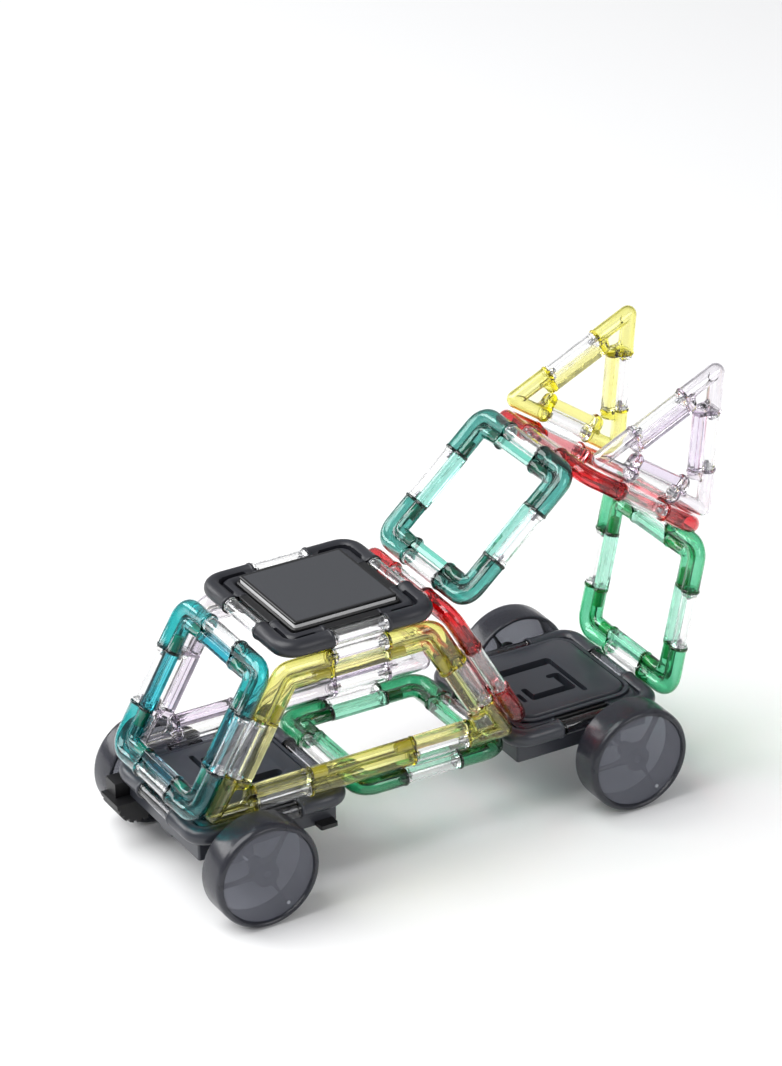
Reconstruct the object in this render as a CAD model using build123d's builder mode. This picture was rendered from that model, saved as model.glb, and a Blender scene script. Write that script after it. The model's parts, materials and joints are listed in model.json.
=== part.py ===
"""Solar car built from magnetic open frames.

Millimetres, +Z up, +X from the front to the rear, +Y to the far side. The origin is on the ground
under the middle of the car. Each open frame is four (or three) elbows joined by thin rails, with a clear
barrel in the middle of every side. A frame is placed by the axis of its lowest outer tube.
"""

import math
import os

from build123d import *

# Open frame
pitch = 65.0  # outer side of a square
span = 22.0  # free length between two elbows
tube_r = 3.3  # outer tube of an elbow
collar_r = 3.6
collar_t = 1.0
lobe_r = 2.6  # inner tube of an elbow
lobe_collar_r = 2.85
lobe_step = 5.1  # outer tube axis to inner tube axis
web_t = 3.0
window_web_t = 1.2
outer_bend = 6.0
inner_bend = 3.0
cup_length = 3.4  # inner tube stub in a 60 degree elbow
rail_w = 3.6  # in the plane of the frame
rail_t = 5.0
tenon_r = 1.9
rail_seat = 7.5
short_rail_seat = 2.4
play = 0.05
barrel_r = 2.9
barrel_rim_r = 3.1
barrel_rim_t = 0.8
barrel_bore_r = 2.3
barrel_end_t = 1.0
barrel_play = 0.15
pin_r = 1.2
pin_reach = 3.0
pin_seat = 1.2
pin_play = 0.1
hinge_gap = 0.3  # between the collars of two neighbouring frames

# Car
wheel_r = 20.5
wheel_w = 13.0
wheel_inner_y = 36.0
axle_r = 1.5
axle_drop = 11.0  # axle below the middle plane of the bases
axle_offset = 11.5  # axle from the middle of its base, towards the car's end
car_middle = 105.94  # front tube of the front base to the middle of the car
cab_shift = 4.0  # cab set back from the joint between front base and floor
lean_slide = 2.0  # leaning squares slid down along the cab's sloping edges
boom_angle = 42.0
deck_angle = -35.0
tail_angle = 78.0
boom_seat_angle = 38.0  # direction from the red square's top tube to the boom's tube
deck_seat_angle = -20.0
tail_seat_angle = 14.0

# Base, housing and drive
plate_size = 43.6
plate_under = -3.0
plate_mid = 2.4
rim_plate_size = 50.0
rim_plate_top = 3.8
field_size = 45.0
field_top = 4.6
slot_depth = 1.6
tray_length = 56.0
tray_width = 54.0
tray_top = -3.8
tray_bottom = -10.5
wall = 1.3
block_half_x = 5.8
block_half_y = 26.0
block_bottom = -16.5
bearing_play = 0.06
module = 0.6
gear_teeth = 24
pinion_teeth = 10
gear_y = 12.0
gear_t = 4.0
motor_r = 2.5
motor_length = 14.0
motor_z = -6.7
shaft_r = 0.6
screw_x = 19.4
screw_y = 18.6
screw_r = 1.0
screw_play = 0.1
screw_head_r = 1.9
screw_head_t = 1.2
screw_reach = 2.2  # into the base plate
post_r = 2.6
guard_r = 9.0
guard_middle_x = 2.4
guard_outer_y = 34.5
guard_length = 13.0
tab_x = 22.5  # from the middle of the front base
tab_length = 7.0
tab_reach = 4.5
tab_t = 1.6

# Solar panel
panel_bottom = -2.6
cell_size = 41.4
cell_t = 0.9
cell_foot_size = 38.6  # fits inside the bright edge
bright_size = 41.2
bright_wall = 1.2
bright_top = 4.1
bezel_top = 3.0
recess_size = 41.8
cell_recess = 0.9
back_cover_size = 41.0

# Worked out
touch = 2 * collar_r + hinge_gap
side = pitch - 2 * tube_r
arm_reach = (pitch - span) / 2
sharp = 60.0
slope = math.radians(sharp)
triangle_side = pitch - 2 * tube_r / math.tan(slope / 2)
trapezoid_base = triangle_side + pitch
trapezoid_top = pitch - 2 * tube_r / math.tan(slope)
trapezoid_height = (trapezoid_base - trapezoid_top) / 2 * math.tan(slope)
deck_z = wheel_r + axle_drop  # middle plane of the bases above the ground
step = side + touch
front_x = -car_middle
floor_x = front_x + step
rear_x = front_x + 2 * step
side_y = side / 2
cab_x = front_x + side + touch / 2 + cab_shift
cab_z = deck_z + touch
roof_z = cab_z + trapezoid_height + touch
gear_r = module * gear_teeth / 2
pinion_r = module * pinion_teeth / 2
centre_distance = gear_r + pinion_r
motor_dx = math.sqrt(centre_distance**2 - (axle_drop + motor_z) ** 2)
gear_floor = -axle_drop - gear_r - 2 * module
gear_well_l = gear_r + motor_dx + pinion_r + 4 * module
gear_well_x = axle_offset - motor_dx / 2 + (gear_r - pinion_r) / 2
gear_well_w = gear_t + 1.6


def turned(angle, length):
    """A vector in the XZ plane."""
    return Vector(length * math.cos(math.radians(angle)), 0, length * math.sin(math.radians(angle)))


# Lowest tube axis of each leaning square, as a point on the XZ plane
leg_middle = Vector(cab_x, 0, cab_z + trapezoid_height / 2)
leg_half_span = (trapezoid_base + trapezoid_top) / 4
lean_low = side / 2 + lean_slide
front_foot = leg_middle - Vector(leg_half_span, 0, 0) + turned(180 - 30, touch) - turned(sharp, lean_low)
back_foot = leg_middle + Vector(leg_half_span, 0, 0) + turned(30, touch) - turned(180 - sharp, lean_low)
boom_foot = back_foot + turned(180 - sharp, side) + turned(boom_seat_angle, touch)
deck_foot = boom_foot + turned(boom_angle, side) + turned(deck_seat_angle, touch)
tail_foot = Vector(rear_x + side, 0, deck_z) + turned(tail_seat_angle, touch)
triangle_foot = deck_foot + turned(deck_angle, side / 2) + turned(deck_angle + 90, touch)


def arm_plane(point, along, inward):
    """Section plane at an arm's end: local x points inward, the normal points back into the arm."""
    return Plane(origin=point, x_dir=inward, z_dir=-along)


def arm_at(angle):
    """Length of an elbow's arm along the outer tube axis, from the corner of the axes."""
    return arm_reach - tube_r / math.tan(math.radians(angle / 2))


def arm_section(tube, lobe):
    Circle(tube)
    with Locations((lobe_step, 0)):
        Circle(lobe)


def end_details(plane, rail_depth):
    """Collars, the rail socket and the pin socket at one arm's end."""
    with BuildSketch(plane) as collars:
        arm_section(collar_r, lobe_collar_r)
    extrude(collars.sketch, amount=collar_t)
    with BuildSketch(plane) as rail_socket:
        with Locations((lobe_step, 0)):
            Circle(tenon_r + play)
    extrude(rail_socket.sketch, amount=rail_depth, mode=Mode.SUBTRACT)
    with BuildSketch(plane) as pin_socket:
        Circle(pin_r + play)
    extrude(pin_socket.sketch, amount=pin_seat, mode=Mode.SUBTRACT)


def make_elbow(angle):
    """A 90 or 120 degree elbow: two bent tubes and a web, opening along +X."""
    half = math.radians(angle / 2)
    arm = arm_at(angle)
    ends = []
    for sign in (1, -1):
        along = Vector(math.cos(half), sign * math.sin(half), 0)
        inward = Vector(math.sin(half), -sign * math.cos(half), 0)
        ends.append((along * arm, along, inward))
    inner_ends = [point + inward * lobe_step for point, along, inward in ends]
    inner_corner = Vector(lobe_step / math.sin(half), 0, 0)
    with BuildPart() as elbow:
        with BuildLine() as outer_path:
            FilletPolyline(ends[0][0], (0, 0, 0), ends[1][0], radius=outer_bend)
        with BuildSketch(arm_plane(*ends[0])):
            Circle(tube_r)
        sweep(path=outer_path.line)
        with BuildSketch():
            with BuildLine():
                outside = [ends[0][0], (0, 0, 0), ends[1][0]]
                inside = [inner_ends[1], inner_corner, inner_ends[0]]
                Polyline(*outside, *inside, close=True)
            make_face()
        extrude(amount=web_t / 2, both=True)
        with BuildLine() as inner_path:
            FilletPolyline(inner_ends[0], inner_corner, inner_ends[1], radius=inner_bend)
        with BuildSketch(arm_plane(inner_ends[0], ends[0][1], ends[0][2])):
            Circle(lobe_r)
        sweep(path=inner_path.line)
        for point, along, inward in ends:
            end_details(arm_plane(point, along, inward), rail_seat)
    return elbow.part


def make_sharp_elbow():
    """A 60 degree elbow: a V of outer tube round a thin-webbed window, closed by two short cups."""
    half = math.radians(sharp / 2)
    arm = arm_at(sharp)
    ends = []
    for sign in (1, -1):
        along = Vector(math.cos(half), sign * math.sin(half), 0)
        inward = Vector(math.sin(half), -sign * math.cos(half), 0)
        ends.append((along * arm, along, inward))
    inner_ends = [point + inward * lobe_step for point, along, inward in ends]
    web_tip = Vector(arm / math.cos(half) - collar_t, 0, 0)
    with BuildPart() as elbow:
        Sphere(tube_r)
        for (point, along, inward), cup in zip(ends, inner_ends):
            with BuildSketch(arm_plane(point, along, inward)):
                Circle(tube_r)
            extrude(amount=arm)
            with BuildSketch(arm_plane(cup, along, inward)):
                Circle(lobe_r)
            extrude(amount=cup_length)
        with BuildSketch():
            with BuildLine():
                near_edge = [(0, 0, 0), ends[0][0], inner_ends[0]]
                far_edge = [web_tip, inner_ends[1], ends[1][0]]
                Polyline(*near_edge, *far_edge, close=True)
            make_face()
        extrude(amount=window_web_t / 2, both=True)
        for point, along, inward in ends:
            end_details(arm_plane(point, along, inward), short_rail_seat)
    return elbow.part


def make_straight():
    """The straight piece between the two barrels of a long side, lying along X, inner tube towards +Y."""
    half = (pitch - span) / 2
    low = arm_plane(Vector(-half, 0, 0), Vector(-1, 0, 0), Vector(0, 1, 0))
    high = arm_plane(Vector(half, 0, 0), Vector(1, 0, 0), Vector(0, 1, 0))
    with BuildPart() as straight:
        with BuildSketch(low):
            arm_section(tube_r, lobe_r)
        extrude(amount=2 * half)
        with Locations((0, lobe_step / 2, 0)):
            Box(2 * half, lobe_step, web_t)
        for plane in (low, high):
            end_details(plane, rail_seat)
    return straight.part


def make_barrel():
    """A hollow clear barrel along X, with a rim and an end wall at each end."""
    half = span / 2 - barrel_play
    hole = pin_r + pin_play
    with BuildPart() as barrel:
        with BuildSketch():
            with BuildLine():
                Polyline(
                    (-half, hole),
                    (-half, barrel_rim_r),
                    (barrel_rim_t - half, barrel_rim_r),
                    (barrel_rim_t - half, barrel_r),
                    (half - barrel_rim_t, barrel_r),
                    (half - barrel_rim_t, barrel_rim_r),
                    (half, barrel_rim_r),
                    (half, hole),
                    (half - barrel_end_t, hole),
                    (half - barrel_end_t, barrel_bore_r),
                    (barrel_end_t - half, barrel_bore_r),
                    (barrel_end_t - half, hole),
                    close=True,
                )
            make_face()
        revolve(axis=Axis.X)
    return barrel.part


def make_pins():
    """The two magnet pins that carry one barrel."""
    with BuildPart() as pins:
        for sign in (1, -1):
            plane = Plane(origin=(sign * (span / 2 + pin_seat), 0, 0), z_dir=(-sign, 0, 0))
            with BuildSketch(plane):
                Circle(pin_r)
            extrude(amount=pin_seat + pin_reach)
        tips = pins.edges().filter_by(GeomType.CIRCLE).sort_by(lambda edge: abs(edge.center().X))[:2]
        fillet(tips, pin_r / 2)
    return pins.part


def make_rail(low_seat, high_seat):
    """A flat rail along X with a round tenon at each end, seated in the elbows."""
    shoulder = span / 2 - play
    with BuildPart() as rail:
        with BuildSketch(Plane.YZ.offset(-shoulder)):
            RectangleRounded(rail_w, rail_t, 0.6)
        extrude(amount=2 * shoulder)
        with BuildSketch(Plane.YZ.offset(-shoulder)):
            Circle(tenon_r)
        extrude(amount=-low_seat)
        with BuildSketch(Plane.YZ.offset(shoulder)):
            Circle(tenon_r)
        extrude(amount=high_seat)
    return rail.part


right_elbow = make_elbow(90)
wide_elbow = make_elbow(120)
sharp_elbow = make_sharp_elbow()
straight_piece = make_straight()
barrel_piece = make_barrel()
pin_pair = make_pins()
rails = {
    (True, True): make_rail(rail_seat, rail_seat),
    (True, False): make_rail(rail_seat, short_rail_seat),
    (False, True): make_rail(short_rail_seat, rail_seat),
    (False, False): make_rail(short_rail_seat, short_rail_seat),
}


def outline(kind):
    """Corner points of the outer tube axes, anticlockwise from the low left, with each corner's angle."""
    if kind == "square":
        return [(-side / 2, 0, 90), (side / 2, 0, 90), (side / 2, side, 90), (-side / 2, side, 90)]
    if kind == "triangle":
        height = triangle_side * math.sin(slope)
        return [(-triangle_side / 2, 0, 60), (triangle_side / 2, 0, 60), (0, height, 60)]
    low, high = trapezoid_base / 2, trapezoid_top / 2
    return [(-low, 0, 60), (low, 0, 60), (high, trapezoid_height, 120), (-high, trapezoid_height, 120)]


def corner_locations(kind):
    """Where each elbow goes: (elbow, location) pairs."""
    elbows = {60: sharp_elbow, 90: right_elbow, 120: wide_elbow}
    corners = outline(kind)
    placed = []
    for i, (x, y, angle) in enumerate(corners):
        next_x, next_y, _ = corners[(i + 1) % len(corners)]
        heading = math.degrees(math.atan2(next_y - y, next_x - x))
        placed.append((elbows[angle], Location((x, y, 0), (0, 0, heading + angle / 2))))
    return placed


def barrel_places(kind):
    """Middle, heading and end seats of every barrel: (location, low end deep, high end deep)."""
    corners = outline(kind)
    places = []
    for i, (x, y, angle) in enumerate(corners):
        next_x, next_y, next_angle = corners[(i + 1) % len(corners)]
        along = Vector(next_x - x, next_y - y, 0).normalized()
        heading = math.degrees(math.atan2(along.Y, along.X))
        spot = Vector(x, y, 0) + along * (arm_at(angle) + span / 2)
        if math.hypot(next_x - x, next_y - y) > pitch:
            places.append((Location(spot, (0, 0, heading)), False, True))
            places.append((Location(spot + along * pitch, (0, 0, heading)), True, False))
        else:
            places.append((Location(spot, (0, 0, heading)), angle > sharp, next_angle > sharp))
    return places


def make_frame(kind, with_rails=True):
    """Elbows and rails of one open frame, standing on its lowest outer tube axis."""
    with BuildPart() as frame:
        for elbow, location in corner_locations(kind):
            with Locations(location):
                add(elbow)
        if kind == "trapezoid":
            add(straight_piece)
        if with_rails:
            for location, low_deep, high_deep in barrel_places(kind):
                with Locations(location * Location((0, lobe_step, 0))):
                    add(rails[(low_deep, high_deep)])
    return frame.part


def make_row(kind, piece):
    """One piece on the outer axis in the middle of every side."""
    with BuildPart() as row:
        for location, _, _ in barrel_places(kind):
            with Locations(location):
                add(piece)
    return row.part


def leaning(foot, angle):
    """Plane of a frame whose lowest tube lies across the car."""
    return Plane(
        origin=foot,
        x_dir=(0, 1, 0),
        z_dir=(math.sin(math.radians(angle)), 0, -math.cos(math.radians(angle))),
    )


def upright(foot, angle=0.0):
    """Plane of a frame that stands on edge along the car."""
    return Plane(origin=foot, x_dir=turned(angle, 1), z_dir=(0, -1, 0))


def flat(x):
    """Plane of a frame that lies level, from its front tube's x."""
    return Plane(origin=(x + side / 2, -side_y, deck_z), x_dir=(1, 0, 0), z_dir=(0, 0, 1))


roof_plane = Plane(origin=(cab_x, -side_y, roof_z), x_dir=(1, 0, 0), z_dir=(0, 0, 1))

# name: (outline, plane)
open_frames = {
    "green_floor": ("square", flat(floor_x)),
    "teal_windscreen": ("square", leaning(front_foot, sharp)),
    "red_cab_back": ("square", leaning(back_foot, 180 - sharp)),
    "yellow_cab_side": ("trapezoid", upright(Vector(cab_x, -side_y, cab_z))),
    "clear_cab_side": ("trapezoid", upright(Vector(cab_x, side_y, cab_z))),
    "teal_boom": ("square", leaning(boom_foot, boom_angle)),
    "red_deck": ("square", leaning(deck_foot, deck_angle)),
    "green_tail": ("square", leaning(tail_foot, tail_angle)),
    "yellow_fin": ("triangle", upright(triangle_foot + Vector(0, side_y, 0), deck_angle)),
    "clear_fin": ("triangle", upright(triangle_foot - Vector(0, side_y, 0), deck_angle)),
}
solid_frames = {"front_base": flat(front_x), "rear_base": flat(rear_x), "solar_panel": roof_plane}


def save(part, name):
    part.label = name
    export_step(part, f"parts/{name}.step")


os.makedirs("parts", exist_ok=True)

# Open frames, their barrels and their magnet pins
frame_shapes = {kind: make_frame(kind) for kind in ("square", "triangle", "trapezoid")}
barrel_rows = {kind: make_row(kind, barrel_piece) for kind in frame_shapes}
pin_rows = {kind: make_row(kind, pin_pair) for kind in frame_shapes}

for name, (kind, plane) in open_frames.items():
    save(frame_shapes[kind].moved(plane.location), f"{name}_frame")

all_frames = open_frames | {name: ("square", plane) for name, plane in solid_frames.items()}
for name, (kind, plane) in all_frames.items():
    save(barrel_rows[kind].moved(plane.location), f"{name}_barrels")
    save(pin_rows[kind].moved(plane.location), f"{name}_magnets")


def make_base():
    """Square rim of elbows and rails round a stepped plate with latch grooves, centred on the origin."""
    with BuildPart() as base:
        with Locations((0, -side / 2, 0)):
            add(frame_shapes["square"])
        with BuildSketch(Plane.XY.offset(plate_under)):
            RectangleRounded(plate_size, plate_size, 2)
        extrude(amount=plate_mid - plate_under)
        with BuildSketch(Plane.XY.offset(plate_mid)):
            RectangleRounded(rim_plate_size, rim_plate_size, 8)
        extrude(amount=rim_plate_top - plate_mid)
        with BuildSketch(Plane.XY.offset(rim_plate_top)):
            RectangleRounded(field_size, field_size, 6)
        extrude(amount=field_top - rim_plate_top, taper=30)
        with BuildSketch(Plane.XY.offset(field_top)):
            latch_grooves()
        extrude(amount=-slot_depth, mode=Mode.SUBTRACT)
        with BuildSketch(Plane.XY.offset(plate_under)):
            with GridLocations(2 * screw_x, 2 * screw_y, 2, 2):
                Circle(screw_r + screw_play)
        extrude(amount=screw_reach + screw_play, mode=Mode.SUBTRACT)
    return base.part


def latch_grooves():
    """Grooves of the snap latch: a wide slot, a thin slot, the U round the tongue and a notch."""
    grooves = [
        (-3.8, 9.6, 18.6, 3.0),
        (8.0, -3.2, 1.2, 28.6),
        (5.2, -6.8, 1.8, 11.0),
        (-3.2, -12.6, 18.6, 1.8),
        (-11.6, -8.4, 1.2, 10.2),
        (-15.0, -10.0, 1.0, 6.0),
        (2.6, -1.6, 3.4, 1.2),
    ]
    for x, y, length, width in grooves:
        with Locations((x, y)):
            Rectangle(length, width)


base_shape = make_base()
base_turns = {"front": 180, "rear": 0}
base_middles = {"front": front_x + side / 2, "rear": rear_x + side / 2}
for end, turn in base_turns.items():
    base_plane = Plane(Location((base_middles[end], 0, deck_z), (0, 0, turn)))
    with BuildPart(base_plane) as base_node:
        add(base_shape)
    save(base_node.part, f"{end}_base")


def make_housing(with_drive):
    """Tray under a base with the axle block below it. The axle is at +x = axle_offset."""
    with BuildPart() as housing:
        with BuildSketch(Plane.XY.offset(tray_bottom)):
            Rectangle(tray_length, tray_width)
        extrude(amount=tray_top - tray_bottom)
        with BuildSketch(Plane.XY.offset(tray_top)):
            Rectangle(plate_size, plate_size)
        extrude(amount=plate_under - tray_top)
        with BuildSketch(Plane.XY.offset(block_bottom)):
            with Locations((axle_offset, 0)):
                Rectangle(2 * block_half_x, 2 * block_half_y)
        extrude(amount=tray_bottom - block_bottom)
        if with_drive:
            with BuildSketch(Plane.XY.offset(gear_floor - wall)):
                with Locations((gear_well_x, -gear_y)):
                    Rectangle(gear_well_l + 2 * wall, gear_well_w + 2 * wall)
            extrude(amount=tray_bottom - gear_floor + wall)
        with BuildSketch(Plane.XY.offset(tray_bottom + wall)):
            Rectangle(plate_size - 2 * wall, plate_size - 2 * wall)
        extrude(amount=plate_under - tray_bottom - wall, mode=Mode.SUBTRACT)
        with BuildSketch(Plane.XY.offset(block_bottom + wall)):
            with Locations((axle_offset, 0)):
                Rectangle(2 * (block_half_x - wall), plate_size - 2 * wall)
        extrude(amount=tray_bottom - block_bottom, mode=Mode.SUBTRACT)
        if with_drive:
            with BuildSketch(Plane.XY.offset(gear_floor)):
                with Locations((gear_well_x, -gear_y)):
                    Rectangle(gear_well_l, gear_well_w)
            extrude(amount=tray_bottom + wall - gear_floor, mode=Mode.SUBTRACT)
        with BuildSketch(Plane.XZ.offset(-tray_width / 2)):
            with Locations((axle_offset, -axle_drop)):
                Circle(axle_r + bearing_play)
        extrude(amount=tray_width, mode=Mode.SUBTRACT)
        with BuildSketch(Plane.XY.offset(tray_bottom)):
            with GridLocations(2 * screw_x, 2 * screw_y, 2, 2):
                Circle(post_r)
        extrude(amount=plate_under - tray_bottom)
        with BuildSketch(Plane.XY.offset(tray_bottom)):
            with GridLocations(2 * screw_x, 2 * screw_y, 2, 2):
                Circle(screw_r + screw_play)
        extrude(amount=plate_under - tray_bottom, mode=Mode.SUBTRACT)
        outer_edges = housing.edges().filter_by(Axis.Z).group_by(lambda edge: abs(edge.center().X))[-1]
        fillet(outer_edges, 1.0)
    return housing.part


for end, turn in base_turns.items():
    housing_plane = Plane(Location((base_middles[end], 0, deck_z), (0, 0, turn)))
    with BuildPart(housing_plane) as housing_node:
        add(make_housing(end == "front"))
    save(housing_node.part, f"{end}_axle_housing")


def make_screws():
    """Four pan-head screws that hold a housing up against its base."""
    stem = plate_under - tray_bottom + screw_reach
    with BuildPart() as screws:
        with Locations((0, 0, tray_bottom)):
            with GridLocations(2 * screw_x, 2 * screw_y, 2, 2):
                Cylinder(screw_r, stem, align=(Align.CENTER, Align.CENTER, Align.MIN))
                Cylinder(screw_head_r, screw_head_t, align=(Align.CENTER, Align.CENTER, Align.MAX))
                with Locations((0, 0, -screw_head_t)):
                    Box(2 * screw_r, 0.5, 0.5, mode=Mode.SUBTRACT)
                    Box(0.5, 2 * screw_r, 0.5, mode=Mode.SUBTRACT)
    return screws.part


with BuildPart() as screw_node:
    for end in base_turns:
        with Locations((base_middles[end], 0, deck_z)):
            add(make_screws())
save(screw_node.part, "housing_screws")


def make_wheel():
    """A wide wheel along +Y from its inner edge at y = 0 to its closed outer face."""
    lip = 0.8
    rim_t = 1.6
    face_t = 1.4
    hub_r = 4.6
    with BuildPart() as wheel:
        with BuildSketch(Plane.XY):
            with BuildLine():
                Polyline(
                    (axle_r, 1.0),
                    (hub_r, 1.0),
                    (hub_r + 0.6, wheel_w - lip - face_t),
                    (wheel_r - rim_t - 0.8, wheel_w - lip - face_t),
                    (wheel_r - rim_t, wheel_w - lip - face_t - 1.4),
                    (wheel_r - rim_t, 0),
                    (wheel_r - 0.7, 0),
                    (wheel_r, 0.7),
                    (wheel_r, wheel_w - 1.2),
                    (wheel_r - 1.2, wheel_w),
                    (wheel_r - 2.0, wheel_w),
                    (wheel_r - 2.6, wheel_w - lip),
                    (0, wheel_w - lip + 0.3),
                    (0, wheel_w - lip - face_t),
                    (axle_r, wheel_w - lip - face_t),
                    close=True,
                )
            make_face()
        revolve(axis=Axis.Y)
        with BuildSketch(Plane.XZ.offset(-4.5)):
            for angle in (0, 120, 240):
                with Locations(Location((0, 0, 0), (0, 0, angle))):
                    with Locations(((hub_r + wheel_r - rim_t) / 2, 0)):
                        Rectangle(wheel_r - rim_t - hub_r + 1.0, 1.8)
        extrude(amount=-(wheel_w - lip - face_t - 4.4))
    return wheel.part


wheel_shape = make_wheel()
axle_x = {
    "front": base_middles["front"] - axle_offset,
    "rear": base_middles["rear"] + axle_offset,
}
axle_z = deck_z - axle_drop
for end, x in axle_x.items():
    for turn, name in ((0, "far"), (180, "near")):
        sign = 1 if turn == 0 else -1
        wheel_plane = Plane(Location((x, sign * wheel_inner_y, axle_z), (0, 0, turn)))
        with BuildPart(wheel_plane) as wheel_node:
            add(wheel_shape)
        save(wheel_node.part, f"{end}_{name}_wheel")
    axle_half = wheel_inner_y + wheel_w - 2.2 - play
    with BuildPart(Plane(origin=(x, -axle_half, axle_z), z_dir=(0, 1, 0))) as axle_node:
        Cylinder(axle_r - 0.01, 2 * axle_half, align=(Align.CENTER, Align.CENTER, Align.MIN))
        chamfer(axle_node.edges().filter_by(GeomType.CIRCLE), 0.3)
    save(axle_node.part, f"{end}_axle")


def gear_outline(teeth, phase):
    """Straight-sided teeth, thin enough to run freely in mesh."""
    pitch_r = module * teeth / 2
    root_r = pitch_r - 1.25 * module
    tip_r = pitch_r + 0.9 * module
    tooth = 360 / teeth
    flank = [(root_r, -0.33), (pitch_r, -0.22), (tip_r, -0.11)]
    points = []
    for i in range(teeth):
        for radius, share in flank + [(radius, -share) for radius, share in reversed(flank)]:
            angle = math.radians(phase + tooth * (i + share))
            points.append((radius * math.cos(angle), radius * math.sin(angle)))
    Polygon(*points, align=None)


motor_x = axle_x["front"] + motor_dx
mesh_angle = math.degrees(math.atan2(axle_drop + motor_z, motor_dx))
gear_plane = Plane(origin=(axle_x["front"], gear_y, axle_z), x_dir=(1, 0, 0), z_dir=(0, -1, 0))
with BuildPart(gear_plane) as axle_gear:
    with BuildSketch(gear_plane.offset(-gear_t / 2)):
        gear_outline(gear_teeth, mesh_angle)
    extrude(amount=gear_t)
    with BuildSketch(gear_plane.offset(-gear_t / 2)):
        Circle(axle_r)
    extrude(amount=gear_t, mode=Mode.SUBTRACT)
save(axle_gear.part, "axle_gear")

pinion_plane = Plane(origin=(motor_x, gear_y, deck_z + motor_z), x_dir=(1, 0, 0), z_dir=(0, -1, 0))
with BuildPart(pinion_plane) as motor_pinion:
    with BuildSketch(pinion_plane.offset(-gear_t / 2)):
        gear_outline(pinion_teeth, mesh_angle + 180 + 180 / pinion_teeth)
    extrude(amount=gear_t)
    with BuildSketch(pinion_plane.offset(gear_t / 2)):
        Circle(shaft_r)
    extrude(amount=gear_y - gear_t / 2 - motor_length / 2 + 3)
save(motor_pinion.part, "motor_pinion")

motor_plane = Plane(origin=(motor_x, -motor_length / 2, deck_z + motor_z), x_dir=(1, 0, 0), z_dir=(0, 1, 0))
with BuildPart(motor_plane) as motor:
    Cylinder(motor_r, motor_length, align=(Align.CENTER, Align.CENTER, Align.MIN))
    fillet(motor.edges().filter_by(GeomType.CIRCLE), 0.4)
    with BuildSketch(motor_plane.offset(motor_length)):
        Circle(shaft_r + bearing_play)
    extrude(amount=-3.2, mode=Mode.SUBTRACT)
save(motor.part, "drive_motor")


def ribbed_outline():
    """Half-round section with small ribs, flat side up."""
    ribs = 9
    points = [(-guard_r, 0)]
    for i in range(ribs):
        for radius, share in ((guard_r, 0.1), (guard_r, 0.6), (guard_r - 1, 0.7), (guard_r - 1, 1.0)):
            angle = math.radians(180 + 180 * (i + share) / ribs)
            points.append((radius * math.cos(angle), radius * math.sin(angle)))
    Polygon(*points, align=None)


tab_plane = Plane(origin=(base_middles["front"] + tab_x, -tray_width / 2 - play, deck_z + tray_bottom))
with BuildPart(tab_plane) as switch_tab:
    Box(tab_length, tab_reach, tab_t, align=(Align.CENTER, Align.MAX, Align.MIN))
    fillet(switch_tab.edges().filter_by(Axis.Z).group_by(Axis.Y)[0], 0.8)
save(switch_tab.part, "switch_tab")

guard_x = front_x + guard_middle_x
guard_top = deck_z + tray_bottom - play
guard_plane = Plane(origin=(guard_x, guard_outer_y, guard_top), x_dir=(1, 0, 0), z_dir=(0, -1, 0))
with BuildPart() as gear_guard:
    with BuildSketch(guard_plane):
        ribbed_outline()
    extrude(amount=guard_length)
    with BuildSketch(Plane.XY.offset(guard_top)):
        with Locations((guard_x, (guard_outer_y + tray_width / 2 + play) / 2)):
            Rectangle(1.5 * guard_r, guard_outer_y - tray_width / 2 - play)
    extrude(amount=tray_top - tray_bottom - 1)
save(gear_guard.part, "ribbed_guard")


def make_solar_frame():
    """Rim of elbows and rails round a shallow tray, standing on its lowest outer tube axis."""
    tray_r = 2.0
    with BuildPart() as tray:
        add(frame_shapes["square"])
        with BuildSketch(Plane.XY.offset(panel_bottom)):
            with Locations((0, side / 2)):
                RectangleRounded(plate_size, plate_size, tray_r)
        extrude(amount=bezel_top - panel_bottom)
        with BuildSketch(Plane.XY.offset(bezel_top)):
            with Locations((0, side / 2)):
                RectangleRounded(recess_size, recess_size, tray_r / 2)
        extrude(amount=-cell_recess, mode=Mode.SUBTRACT)
        with BuildSketch(Plane.XY.offset(panel_bottom)):
            with Locations((0, side / 2)):
                RectangleRounded(back_cover_size + 2 * play, back_cover_size + 2 * play, tray_r / 2)
        extrude(amount=cell_recess, mode=Mode.SUBTRACT)
    return tray.part


with BuildPart(roof_plane) as solar_frame:
    add(make_solar_frame())
save(solar_frame.part, "solar_panel_frame")

bright_plane = roof_plane.offset(bezel_top - cell_recess)
bright_height = bright_top - bezel_top + cell_recess
bright_inside = bright_size - 2 * bright_wall
with BuildPart(bright_plane) as bright_edge:
    with BuildSketch(bright_plane):
        with Locations((0, side / 2)):
            RectangleRounded(bright_size, bright_size, 1.0)
            Rectangle(bright_inside, bright_inside, mode=Mode.SUBTRACT)
    extrude(amount=bright_height)
save(bright_edge.part, "solar_cell_surround")

with BuildPart(bright_plane) as solar_cell:
    with BuildSketch(bright_plane):
        with Locations((0, side / 2)):
            Rectangle(cell_foot_size, cell_foot_size)
    extrude(amount=bright_height)
    with BuildSketch(bright_plane.offset(bright_height)):
        with Locations((0, side / 2)):
            RectangleRounded(cell_size, cell_size, 0.8)
    extrude(amount=cell_t)
    chamfer(solar_cell.faces().sort_by(Axis.Z)[-1].edges(), 0.2)
save(solar_cell.part, "solar_cell")

cover_plane = roof_plane.offset(panel_bottom - 0.6)
with BuildPart(cover_plane) as solar_cover:
    with BuildSketch(cover_plane):
        with Locations((0, side / 2)):
            RectangleRounded(back_cover_size, back_cover_size, 1.0)
    extrude(amount=cell_recess + 0.6 - play)
save(solar_cover.part, "solar_back_cover")
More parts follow.
